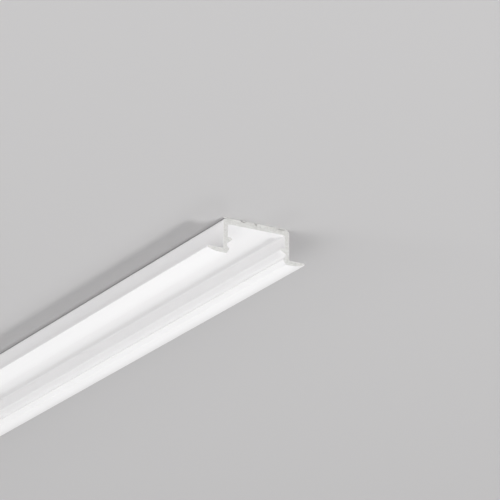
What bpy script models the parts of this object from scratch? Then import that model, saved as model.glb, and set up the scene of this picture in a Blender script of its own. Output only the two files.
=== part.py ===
"""Recessed aluminium profile for an LED strip, a single extruded bar.

Metres, +Z up. The bar lies on its back along Y with the mouth of its channel up. The origin is
the middle of the back face. The section is the same all along: a back web, two walls, and a
flange beside each wall at the mouth. Inside, each wall carries a rib, a groove and a lip, which
a click-in cover holds on to.
"""

import math

import bmesh
import bpy
from mathutils import Vector

# Driving sizes
LENGTH = 0.500  # shortest stock length
BODY_WIDTH = 0.0165  # over the outer faces of the walls
HEIGHT = 0.0079  # from the back face to the flange faces
WEB = 0.0012
WALL = 0.0012

# Flanges, which hide the edge of the slot that the body sits in
FLANGE_REACH = 0.0039  # past the outer face of the wall
FLANGE_ROOT = 0.00115  # thickness beside the wall
FLANGE_EDGE = 0.0005  # thickness at the outer edge
FLANGE_FLAT = 0.0005  # flat stretch of the face before it curves back to the edge

# Rib inside each wall, with a flat side towards the web and a slope that leads the cover in
RIB_PROUD = 0.00098
RIB_FROM_MOUTH = 0.00378  # to its flat side
RIB_TIP = 0.0006  # thickness at the tip, where the slope starts
SLOPE_FROM_MOUTH = 0.00235  # to the foot of the slope

# Groove between the slope and the lip, sunk a little into the wall
GROOVE_DEPTH = 0.0002
GROOVE_FROM_MOUTH = 0.0018  # to the edge of the groove on the lip's side

# Lip at the mouth, with a slope on both sides of its tip
LIP_PROUD = 0.0004
LIP_FROM_MOUTH = 0.00117  # to the tip
MOUTH_FLARE = 0.0003  # how far the slope opens the mouth past the wall's inner face

# Rounding of the edges that the die leaves
BACK_RADIUS = 0.0006
FLOOR_RADIUS = 0.0005
SEAT_RADIUS = 0.00018
TIP_RADIUS = 0.00024
RIB_RADIUS = 0.00029
RIB_ROOT_RADIUS = 0.00015
GROOVE_RADIUS = 0.00022
LIP_RADIUS = 0.00012
MOUTH_RADIUS = 0.00015

ARC_STEP = math.radians(9)  # turn of the outline between two points of an arc
CROWN_STEPS = 14

# Places in the section that follow from the sizes
HALF_BODY = BODY_WIDTH / 2
INNER_FACE = HALF_BODY - WALL
FLANGE_TIP = HALF_BODY + FLANGE_REACH
SEAT_LEVEL = HEIGHT - FLANGE_ROOT
RIB_LEVEL = HEIGHT - RIB_FROM_MOUTH
RIB_TIP_FACE = INNER_FACE - RIB_PROUD
GROOVE_FACE = INNER_FACE + GROOVE_DEPTH


def rounded(corners):
    """The outline through (x, z, radius) corners, each turned into an arc of its radius."""
    outline = []
    for index, (x, z, radius) in enumerate(corners):
        here = Vector((x, z))
        if radius == 0:
            outline.append(here)
            continue
        before = Vector(corners[index - 1][:2]) - here
        after = Vector(corners[(index + 1) % len(corners)][:2]) - here
        half_angle = before.angle(after) / 2
        room = 0.49 * min(before.length, after.length)
        radius = min(radius, room * math.tan(half_angle))
        centre = here + (before.normalized() + after.normalized()).normalized() * (
            radius / math.sin(half_angle)
        )
        start = here + before.normalized() * radius / math.tan(half_angle) - centre
        turn = math.pi - 2 * half_angle
        if before.cross(after) > 0:
            turn = -turn
        steps = max(2, math.ceil(abs(turn) / ARC_STEP))
        for step in range(steps + 1):
            angle = turn * step / steps
            outline.append(
                centre
                + Vector(
                    (
                        start.x * math.cos(angle) - start.y * math.sin(angle),
                        start.x * math.sin(angle) + start.y * math.cos(angle),
                    )
                )
            )
    return outline


def crown():
    """The flange face in to its flat stretch, an arc. Its start is left to the rounded edge."""
    run = FLANGE_REACH - FLANGE_FLAT
    drop = FLANGE_ROOT - FLANGE_EDGE
    radius = (run**2 + drop**2) / (2 * drop)
    sweep = math.asin(run / radius)
    points = []
    for step in range(2, CROWN_STEPS + 1):
        angle = sweep * (1 - step / CROWN_STEPS)
        x = FLANGE_TIP - run + radius * math.sin(angle)
        z = HEIGHT - radius + radius * math.cos(angle)
        points.append((x, z, 0))
    return points


def half_section():
    """The corners of the half at +X, from the back up its outer side and down into the channel."""
    return [
        (HALF_BODY, 0, BACK_RADIUS),
        (HALF_BODY, SEAT_LEVEL, SEAT_RADIUS),
        (FLANGE_TIP, SEAT_LEVEL, TIP_RADIUS),
        (FLANGE_TIP, SEAT_LEVEL + FLANGE_EDGE, TIP_RADIUS),
        *crown(),
        (INNER_FACE + MOUTH_FLARE, HEIGHT, MOUTH_RADIUS),
        (INNER_FACE - LIP_PROUD, HEIGHT - LIP_FROM_MOUTH, LIP_RADIUS),
        (GROOVE_FACE, HEIGHT - GROOVE_FROM_MOUTH, GROOVE_RADIUS),
        (GROOVE_FACE, HEIGHT - SLOPE_FROM_MOUTH, GROOVE_RADIUS),
        (RIB_TIP_FACE, RIB_LEVEL + RIB_TIP, RIB_RADIUS),
        (RIB_TIP_FACE, RIB_LEVEL, RIB_RADIUS),
        (INNER_FACE, RIB_LEVEL, RIB_ROOT_RADIUS),
        (INNER_FACE, WEB, FLOOR_RADIUS),
    ]


def section():
    """The whole closed outline in X and Z, anticlockwise as seen from -Y."""
    right = half_section()
    left = [(-x, z, radius) for x, z, radius in reversed(right)]
    return rounded(right + left)


def metal(name, colour, metallic, roughness):
    material = bpy.data.materials.new(name)
    material.use_nodes = True
    shader = material.node_tree.nodes["Principled BSDF"]
    shader.inputs["Base Color"].default_value = (*colour, 1)
    shader.inputs["Metallic"].default_value = metallic
    shader.inputs["Roughness"].default_value = roughness
    return material


def extruded_bar(name, outline, length, coat, bare):
    """The outline pushed along Y. The sides take the coat, and the two saw cuts are bare metal."""
    bar = bmesh.new()
    corners = [bar.verts.new((point.x, -length / 2, point.y)) for point in outline]
    near_cut = bar.faces.new(corners)
    near_cut.material_index = 1
    pushed = bmesh.ops.extrude_face_region(bar, geom=[near_cut], use_keep_orig=True)
    moved = [item for item in pushed["geom"] if isinstance(item, bmesh.types.BMVert)]
    bmesh.ops.translate(bar, verts=moved, vec=(0, length, 0))
    for face in bar.faces:
        if len(face.verts) == 4:
            face.material_index = 0
    bmesh.ops.recalc_face_normals(bar, faces=bar.faces)
    mesh = bpy.data.meshes.new(name)
    bar.to_mesh(mesh)
    bar.free()
    mesh.materials.append(coat)
    mesh.materials.append(bare)
    mesh.shade_smooth()
    mesh.set_sharp_from_angle(angle=math.radians(25))
    piece = bpy.data.objects.new(name, mesh)
    bpy.context.scene.collection.objects.link(piece)
    return piece


def main():
    for item in list(bpy.data.objects):
        bpy.data.objects.remove(item, do_unlink=True)
    coat = metal("white_powder_coat", (0.84, 0.84, 0.84), 0, 0.42)
    bare = metal("bare_aluminium", (0.66, 0.66, 0.64), 1, 0.38)
    extruded_bar("profile", section(), LENGTH, coat, bare)


main()
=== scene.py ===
"""Dresses the recessed aluminium profile, and sets up its floor, its light and its camera.

Metres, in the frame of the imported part: the bar lies on its back along Y, its mouth up, and its
near saw cut faces -Y.
"""

import math

import bmesh
import bpy
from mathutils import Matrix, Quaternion, Vector, noise

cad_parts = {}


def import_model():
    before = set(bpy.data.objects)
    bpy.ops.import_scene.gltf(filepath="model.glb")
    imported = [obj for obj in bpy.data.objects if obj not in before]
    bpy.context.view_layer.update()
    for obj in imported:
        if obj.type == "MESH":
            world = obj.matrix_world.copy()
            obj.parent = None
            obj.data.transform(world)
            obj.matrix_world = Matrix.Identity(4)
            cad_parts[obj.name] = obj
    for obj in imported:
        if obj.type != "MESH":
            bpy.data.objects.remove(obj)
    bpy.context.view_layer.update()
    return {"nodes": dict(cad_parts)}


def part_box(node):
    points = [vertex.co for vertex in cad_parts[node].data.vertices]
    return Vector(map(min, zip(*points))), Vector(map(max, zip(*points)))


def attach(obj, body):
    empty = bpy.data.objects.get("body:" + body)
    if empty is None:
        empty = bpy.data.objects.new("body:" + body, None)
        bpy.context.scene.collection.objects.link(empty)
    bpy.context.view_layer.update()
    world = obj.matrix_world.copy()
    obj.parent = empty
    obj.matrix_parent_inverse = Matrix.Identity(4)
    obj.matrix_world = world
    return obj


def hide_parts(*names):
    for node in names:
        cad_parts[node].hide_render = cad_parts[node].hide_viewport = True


MM = 0.001

# View of the photograph
VIEW_AZIMUTH = math.radians(29.87)
VIEW_ELEVATION = math.radians(19.70)
VIEW_ROLL = math.radians(180.20)  # the bar was seen hanging, and lies here the other way up
VIEW_DISTANCE = 767.8 * MM
VIEW_AIM = Vector((-5.21, 11.92, 1.2)) * MM  # from the foot of the near cut
LENS = 250.97  # millimetres
SENSOR_WIDTH = 36  # millimetres
CLIP_START = 0.05
CLIP_END = 60

# Light. A level is the share of a white surface's brightness that the lamp gives the floor.
WORLD_LEVEL = 0.503
BACKDROP_GREY = 0.52
SOFTBOXES = (
    # name, azimuth from -Y towards +X and elevation in degrees, distance, diameter, level
    ("key", 340, 50, 1.5, 0.45, 0.252),
    ("side_fill", 60, 33, 1.5, 0.90, 0.056),
    ("low_fill", 90, 33, 1.5, 0.90, 0.047),
    ("high_fill", 100, 50, 6.0, 3.60, 0.079),
    ("back_fill", 210, 33, 6.0, 1.80, 0.047),
    ("front_glow", 13, 10, 6.0, 1.30, 0.018),
    ("side_glow", 103, 10, 6.0, 1.30, 0.023),
)
FLOOR_SIDE = 80.0
FLOOR_COLOUR = (0.564, 0.557, 0.560, 1)

# Powder coat: its colours, and the grain and the height of what makes it uneven
COAT_DARKER = (0.897, 0.891, 0.894, 1)
COAT_LIGHTER = (0.919, 0.913, 0.916, 1)
PEEL_GRAIN, PEEL_HEIGHT = 0.9 * MM, 0.007 * MM
FINE_GRAIN, FINE_HEIGHT = 0.14 * MM, 0.0016 * MM
DIE_LINE_GRAIN, DIE_LINE_HEIGHT = 0.35 * MM, 0.0028 * MM
DIE_LINE_STRETCH = (1, 0.004, 1)
CLOUD_GRAIN = 14 * MM
CLOUD_STRETCH = (1, 0.35, 1)

# Bare metal of the saw cuts, in the same way
METAL_DARKER = (0.82, 0.82, 0.792, 1)
METAL_LIGHTER = (0.95, 0.95, 0.93, 1)
MOTTLE_GRAIN, MOTTLE_HEIGHT = 0.45 * MM, 0.03 * MM
TOOTH_GRAIN, TOOTH_HEIGHT = 0.16 * MM, 0.02 * MM
TOOTH_STRETCH = (0.06, 1, 1)

# Skin of the bar
COAT_THICKNESS = 0.075 * MM
COAT_WOBBLE = 0.45  # share by which the coat's thickness varies around a cut
COAT_WAVE = 0.35  # of that variation, from one point of the outline to the next
END_SEED = 7  # sets the variation at one end apart from that at the other
EDGE_BREAK = 0.02 * MM  # rounding that the saw leaves on the coat
EDGE_DEPTH = 0.005 * MM  # from the bare metal back to the edge of the coat
CUT_SETBACK = 0.06 * MM  # how far the cut lies behind the CAD's, which leaves its burrs room
OUTLINE_STEP = 0.12 * MM
MITRE_COSINE = 0.5  # the least that a corner's mitre is reckoned with
SMOOTH_ANGLE = math.radians(28)
MERGE_DISTANCE = 0.001 * MM
FLAT_BAND = 0.01 * MM  # how close a point lies to a flat face to belong to it

# Distances from a cut at which the bar's skin has a ring of points
RING_PLACES = [place * MM for place in (0.035, 0.1, 0.2, 0.32, 0.5, 0.8)]

# Nicks that the saw tore out of the back edge of the near cut
NICKS = (
    # middle in x, half width, height, reach along the bar, all in millimetres
    (3.20, 0.56, 0.17, 0.40),
    (0.16, 0.25, 0.26, 0.50),
    (-6.10, 0.95, 0.16, 0.50),
)
NICK_MEAN = 0.8  # share of the height that a nick has on average, for its ragged roof
NICK_WOBBLE = 0.4
NICK_WAVES = 3  # per millimetre
TORN_BELOW = 0.6 * MM  # height on the skin under which a nick tears the coat off
TORN_DEPTH = 0.05 * MM  # depth from which a nick does so

# Burrs that hang from the back edge of the near cut. The bar rests on them. The first closes the
# gap behind the others.
BURRS = (
    # x from, x to, height of the foot, height of the top, set back, all in millimetres
    (7.70, -7.80, -0.23, 0.25, 0.30),
    (8.30, 6.30, -0.23, -0.03, -0.10),
    (6.50, 3.90, -0.23, 0.04, -0.03),
    (3.62, 2.70, -0.23, -0.01, -0.10),
    (2.74, 0.34, -0.23, 0.04, -0.03),
    (0.42, -0.12, -0.23, -0.07, -0.06),
    (-0.06, -4.00, -0.23, 0.04, -0.03),
    (-3.90, -5.75, -0.23, 0.00, -0.10),
    (-5.60, -7.80, -0.23, 0.00, -0.10),
)
FLOOR_GAP = 0.24 * MM  # the dark hairline between the bar and the surface behind it

# Shape of a burr, in millimetres
BURR_STEP = 0.15
BURR_THICKNESS = 0.06
BURR_TAPER = 0.3  # length over which it thins towards an end
BURR_END = 0.4  # share of its height that is left there
BURR_WAVES = 2.3  # per millimetre
BURR_SEED = 3
TOP_WOBBLE = 0.04
FOOT_WOBBLE = 0.1  # as a share of its height
FRONT_WOBBLE = 0.02


class Wire:
    """The output of a shader node. Arithmetic on it adds Math nodes to its tree."""

    def __init__(self, graph, socket):
        self.graph = graph
        self.socket = socket

    def maths(self, operation, *values):
        inputs = dict(enumerate(values))
        return self.graph.node("ShaderNodeMath", {"operation": operation}, inputs)

    def __add__(self, other):
        return self.maths("ADD", self, other)

    def __radd__(self, other):
        return self.maths("ADD", other, self)

    def __rmul__(self, other):
        return self.maths("MULTIPLY", other, self)


class Graph:
    """The node tree of a material or of the world."""

    def __init__(self, owner):
        owner.use_nodes = True
        self.tree = owner.node_tree

    def node(self, kind, settings=None, inputs=None, output=0):
        """Adds a node: its settings first, then the value or the link of each input."""
        made = self.tree.nodes.new(kind)
        for name, value in (settings or {}).items():
            setattr(made, name, value)
        for name, value in (inputs or {}).items():
            self.feed(made.inputs[name], value)
        return Wire(self, made.outputs[output])

    def feed(self, socket, value):
        if isinstance(value, Wire):
            self.tree.links.new(value.socket, socket)
        else:
            socket.default_value = value

    def finish(self, inputs):
        """Feeds the sockets of the material's shader."""
        shader = self.tree.nodes["Principled BSDF"]
        for name, value in inputs.items():
            self.feed(shader.inputs[name], value)

    def place(self, stretch=(1, 1, 1)):
        """The point on the object, in metres, drawn out along an axis whose factor is small."""
        point = self.node("ShaderNodeTexCoord", output="Object")
        return self.node(
            "ShaderNodeVectorMath", {"operation": "MULTIPLY"}, {0: point, 1: stretch}
        )

    def noise(self, grain, point, detail):
        """Soft noise from 0 to 1 whose spots are about as wide as the grain."""
        return self.node(
            "ShaderNodeTexNoise",
            {"noise_dimensions": "3D"},
            {"Vector": point, "Scale": 1 / grain, "Detail": detail},
        )

    def ramp(self, value, low, high):
        """A value from low to high, turned into one from 0 to 1 and held between them."""
        return self.node(
            "ShaderNodeMapRange",
            {"clamp": True},
            {"Value": value, "From Min": low, "From Max": high},
        )

    def blend(self, factor, first, second):
        return self.node(
            "ShaderNodeMix", {"data_type": "RGBA"}, {0: factor, 6: first, 7: second}, output=2
        )

    def bump(self, height):
        """A normal for a height in metres."""
        return self.node(
            "ShaderNodeBump", None, {"Strength": 1.0, "Distance": 1.0, "Height": height}
        )


def grey(level):
    return (level, level, level, 1)


def powder_coat():
    """Satin white powder coat: orange peel, fine grain, and the die's lines under it."""
    material = bpy.data.materials.new("white_powder_coat")
    coat = Graph(material)
    point = coat.place()
    peel = coat.noise(PEEL_GRAIN, point, 1.0)
    grain = coat.noise(FINE_GRAIN, point, 3.0)
    die_lines = coat.noise(DIE_LINE_GRAIN, coat.place(DIE_LINE_STRETCH), 3.0)
    clouds = coat.noise(CLOUD_GRAIN, coat.place(CLOUD_STRETCH), 2.0)
    height = PEEL_HEIGHT * peel + FINE_HEIGHT * grain + DIE_LINE_HEIGHT * die_lines
    shade = coat.ramp(clouds + 0.5 * die_lines, 0.45, 1.05)
    coat.finish(
        {
            "Base Color": coat.blend(shade, COAT_DARKER, COAT_LIGHTER),
            "Roughness": 0.36 + 0.12 * clouds + 0.10 * grain,
            "Specular IOR Level": 0.4,
            "Normal": coat.bump(height),
        }
    )
    return material


def saw_cut_metal():
    """Bare aluminium as the saw leaves it: arcs of its teeth, and smeared, mottled metal."""
    material = bpy.data.materials.new("saw_cut_aluminium")
    metal = Graph(material)
    mottle = metal.noise(MOTTLE_GRAIN, metal.place(), 3.0)
    tooth_marks = metal.noise(TOOTH_GRAIN, metal.place(TOOTH_STRETCH), 2.0)
    height = TOOTH_HEIGHT * tooth_marks + MOTTLE_HEIGHT * mottle
    shade = metal.ramp(0.6 * mottle + 0.4 * tooth_marks, 0.36, 0.64)
    metal.finish(
        {
            "Base Color": metal.blend(shade, METAL_DARKER, METAL_LIGHTER),
            "Metallic": 0.45,
            "Roughness": 0.38 + 0.25 * mottle,
            "Normal": metal.bump(height),
        }
    )
    return material


def floor_paint():
    material = bpy.data.materials.new("floor_paint")
    paint = Graph(material)
    paint.finish({"Base Color": FLOOR_COLOUR, "Roughness": 0.9, "Specular IOR Level": 0.1})
    return material


def cut_outline(node):
    """The outline of the CAD bar's near cut as (x, z) points, anticlockwise as seen from -Y."""
    solid = bmesh.new()
    solid.from_mesh(node.data)
    bmesh.ops.remove_doubles(solid, verts=solid.verts, dist=MERGE_DISTANCE)
    near = min(vert.co.y for vert in solid.verts) + FLAT_BAND
    cap = {face for face in solid.faces if all(vert.co.y < near for vert in face.verts)}
    rim = [edge for edge in solid.edges if len(cap.intersection(edge.link_faces)) == 1]
    neighbours = {}
    for edge in rim:
        for vert in edge.verts:
            neighbours.setdefault(vert, []).append(edge.other_vert(vert))
    start = rim[0].verts[0]
    chain = [start, neighbours[start][0]]
    while chain[-1] is not start:
        first, second = neighbours[chain[-1]]
        chain.append(second if first is chain[-2] else first)
    points = [Vector((vert.co.x, vert.co.z)) for vert in chain[:-1]]
    solid.free()
    if sum(a.cross(b) for a, b in zip(points, points[1:] + points[:1])) < 0:
        points.reverse()
    return points


def evenly_spaced(points, step):
    """The same closed outline with no two points further apart than the step."""
    outline = []
    for here, there in zip(points, points[1:] + points[:1]):
        pieces = math.ceil((there - here).length / step)
        outline += [here.lerp(there, piece / pieces) for piece in range(pieces)]
    return outline


def inward_normals(outline):
    """For each point of the outline the way into the metal, longer at a corner by its mitre."""
    normals = []
    for before, here, after in zip(outline[-1:] + outline, outline, outline[1:] + outline[:1]):
        way_in = (here - before).normalized()
        way_out = (after - here).normalized()
        mean = (way_in + way_out).normalized()
        mitre = 1 / max(MITRE_COSINE, mean.dot(way_in))
        normals.append(Vector((-mean.y, mean.x)) * mitre)
    return normals


def nick_height(x, inwards):
    """How far the nicks of the near cut lift the back face, at a distance inwards from the cut."""
    height = 0
    for middle, half_width, depth, reach in NICKS:
        across = abs(x / MM - middle) / half_width
        along = inwards / MM / reach
        if across < 1 and along < 1:
            ragged = noise.noise(Vector((x / MM * NICK_WAVES, middle, 0)))
            wobble = NICK_MEAN + NICK_WOBBLE * ragged
            shape = (1 - across**4) * (1 - along**2)
            height = max(height, depth * wobble * shape * MM)
    return height


class Bar:
    """The bar's skin: rings of points along Y, closed at each end by a saw cut."""

    COAT = 0
    METAL = 1

    def __init__(self, outline, near, far):
        self.outline = outline
        self.normals = inward_normals(outline)
        self.near = near
        self.far = far
        self.solid = bmesh.new()

    def ring(self, y, inwards, offset, nicked):
        """A ring at y, at a distance inwards from its cut, moved into the metal by an offset."""
        verts = []
        for index, (point, normal) in enumerate(zip(self.outline, self.normals)):
            depth = offset
            if offset > EDGE_BREAK:
                ragged = noise.noise(Vector((index * COAT_WAVE, y * END_SEED, 0)))
                depth *= 1 + COAT_WOBBLE * ragged
            spot = point + normal * depth
            if nicked and point.y < FLAT_BAND:
                spot.y += nick_height(point.x, inwards)
            verts.append(self.solid.verts.new((spot.x, y, spot.y)))
        return verts

    def skin(self, first, second, finish):
        """Faces from one ring to the next."""
        faces = []
        count = len(first)
        for index in range(count):
            after = (index + 1) % count
            corners = (first[index], first[after], second[after], second[index])
            face = self.solid.faces.new(corners)
            face.material_index = finish
            faces.append(face)
        return faces

    def fill(self, ring):
        """A face of bare metal over a whole ring."""
        self.solid.faces.new(ring).material_index = self.METAL

    def end(self, cut, way, nicked):
        """The rings of one end, from the bare metal out to the skin. The cut is filled."""
        metal_rim = self.ring(cut, 0, COAT_THICKNESS, nicked)
        coat_rim = self.ring(cut + way * EDGE_DEPTH, 0, EDGE_BREAK, nicked)
        rings = [metal_rim, coat_rim]
        for place in RING_PLACES:
            rings.append(self.ring(cut + way * place, place, 0.0, nicked))
        self.fill(metal_rim if way < 0 else metal_rim[::-1])
        return rings

    def build(self):
        near_rings = self.end(self.near, 1, True)
        far_rings = self.end(self.far, -1, False)
        rings = near_rings + far_rings[::-1]
        for first, second in zip(rings, rings[1:]):
            for face in self.skin(first, second, self.COAT):
                if self.is_torn(face):
                    face.material_index = self.METAL

    def is_torn(self, face):
        """Whether the face lies in a nick, where the coat is gone."""
        middle = face.calc_center_median()
        inwards = middle.y - self.near
        return middle.z < TORN_BELOW and nick_height(middle.x, inwards) > TORN_DEPTH

    def burr(self, start, stop, foot, top, set_back):
        """A thin fin of torn metal along the back edge of the near cut."""
        steps = math.ceil(abs(stop - start) / BURR_STEP)
        rows = []
        for step in range(steps + 1):
            x = start + (stop - start) * step / steps
            ragged = noise.noise(Vector((x * BURR_WAVES, set_back, BURR_SEED)))
            from_end = min(abs(x - start), abs(x - stop))
            taper = min(1, BURR_END + from_end / BURR_TAPER)
            high = top + TOP_WOBBLE * ragged
            low = top - (top - foot) * taper * (1 - FOOT_WOBBLE * abs(ragged))
            front = set_back + FRONT_WOBBLE * ragged
            behind = front + BURR_THICKNESS
            corners = ((front, low), (front, high), (behind, high), (behind, low))
            rows.append(
                [
                    self.solid.verts.new((x * MM, self.near + deep * MM, z * MM))
                    for deep, z in corners
                ]
            )
        for first, second in zip(rows, rows[1:]):
            self.skin(first, second, self.METAL)
        self.fill(rows[0])
        self.fill(rows[-1][::-1])

    def piece(self, name, finishes):
        bmesh.ops.recalc_face_normals(self.solid, faces=self.solid.faces)
        mesh = bpy.data.meshes.new(name)
        self.solid.to_mesh(mesh)
        self.solid.free()
        for finish in finishes:
            mesh.materials.append(finish)
        mesh.shade_smooth()
        mesh.set_sharp_from_angle(angle=SMOOTH_ANGLE)
        piece = bpy.data.objects.new(name, mesh)
        bpy.context.scene.collection.objects.link(piece)
        return piece


def extruded_bar(node, low, high):
    """The whole bar in the outline of the CAD part, with the marks of its saw."""
    outline = evenly_spaced(cut_outline(node), OUTLINE_STEP)
    bar = Bar(outline, low.y + CUT_SETBACK, high.y - CUT_SETBACK)
    bar.build()
    for burr in BURRS:
        bar.burr(*burr)
    return bar.piece("extruded_bar", [powder_coat(), saw_cut_metal()])


def add_floor():
    bpy.ops.mesh.primitive_plane_add(size=FLOOR_SIDE)
    floor = bpy.context.object
    floor.name = "floor"
    floor.location.z = -FLOOR_GAP
    floor.data.materials.append(floor_paint())


def light_world():
    """Even light from all round. The camera and reflections see it as a grey backdrop."""
    world = bpy.data.worlds.new("studio")
    bpy.context.scene.world = world
    room = Graph(world)
    camera_ray = room.node("ShaderNodeLightPath", output="Is Camera Ray")
    glossy_ray = Wire(room, camera_ray.socket.node.outputs["Is Glossy Ray"])
    light = room.node("ShaderNodeBackground", None, {"Color": grey(WORLD_LEVEL)})
    backdrop = room.node("ShaderNodeBackground", None, {"Color": grey(BACKDROP_GREY)})
    shown = {0: camera_ray + glossy_ray, 1: light, 2: backdrop}
    surroundings = room.node("ShaderNodeMixShader", None, shown)
    room.feed(room.tree.nodes["World Output"].inputs["Surface"], surroundings)


def direction(azimuth, elevation):
    """The unit vector towards an azimuth, from -Y towards +X, and an elevation, in radians."""
    return Vector(
        (
            math.sin(azimuth) * math.cos(elevation),
            -math.cos(azimuth) * math.cos(elevation),
            math.sin(elevation),
        )
    )


def add_softboxes(aim):
    for name, azimuth, elevation, distance, diameter, level in SOFTBOXES:
        towards = direction(math.radians(azimuth), math.radians(elevation))
        lamp = bpy.data.lights.new(name, "AREA")
        lamp.shape = "DISK"
        lamp.size = diameter
        lamp.energy = level * (math.pi * distance) ** 2 / towards.z
        holder = bpy.data.objects.new(name, lamp)
        bpy.context.scene.collection.objects.link(holder)
        holder.location = aim + towards * distance
        holder.rotation_euler = (-towards).to_track_quat("-Z", "Y").to_euler()
        holder.visible_camera = False


def add_camera(near_foot):
    camera = bpy.data.cameras.new("camera")
    camera.lens = LENS
    camera.sensor_width = SENSOR_WIDTH
    camera.clip_start = CLIP_START
    camera.clip_end = CLIP_END
    holder = bpy.data.objects.new("camera", camera)
    bpy.context.scene.collection.objects.link(holder)
    back = direction(VIEW_AZIMUTH, VIEW_ELEVATION)
    holder.location = near_foot + VIEW_AIM + back * VIEW_DISTANCE
    level = (-back).to_track_quat("-Z", "Y")
    holder.rotation_mode = "QUATERNION"
    holder.rotation_quaternion = level @ Quaternion((0, 0, 1), VIEW_ROLL)
    bpy.context.scene.camera = holder


def main():
    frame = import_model()
    low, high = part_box("profile")
    near_foot = Vector(((low.x + high.x) / 2, low.y, low.z))

    bar = extruded_bar(frame["nodes"]["profile"], low, high)
    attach(bar, "root")
    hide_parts("profile")

    add_floor()
    light_world()
    add_softboxes(near_foot)
    add_camera(near_foot)
    bpy.context.scene.view_settings.view_transform = "Standard"


main()
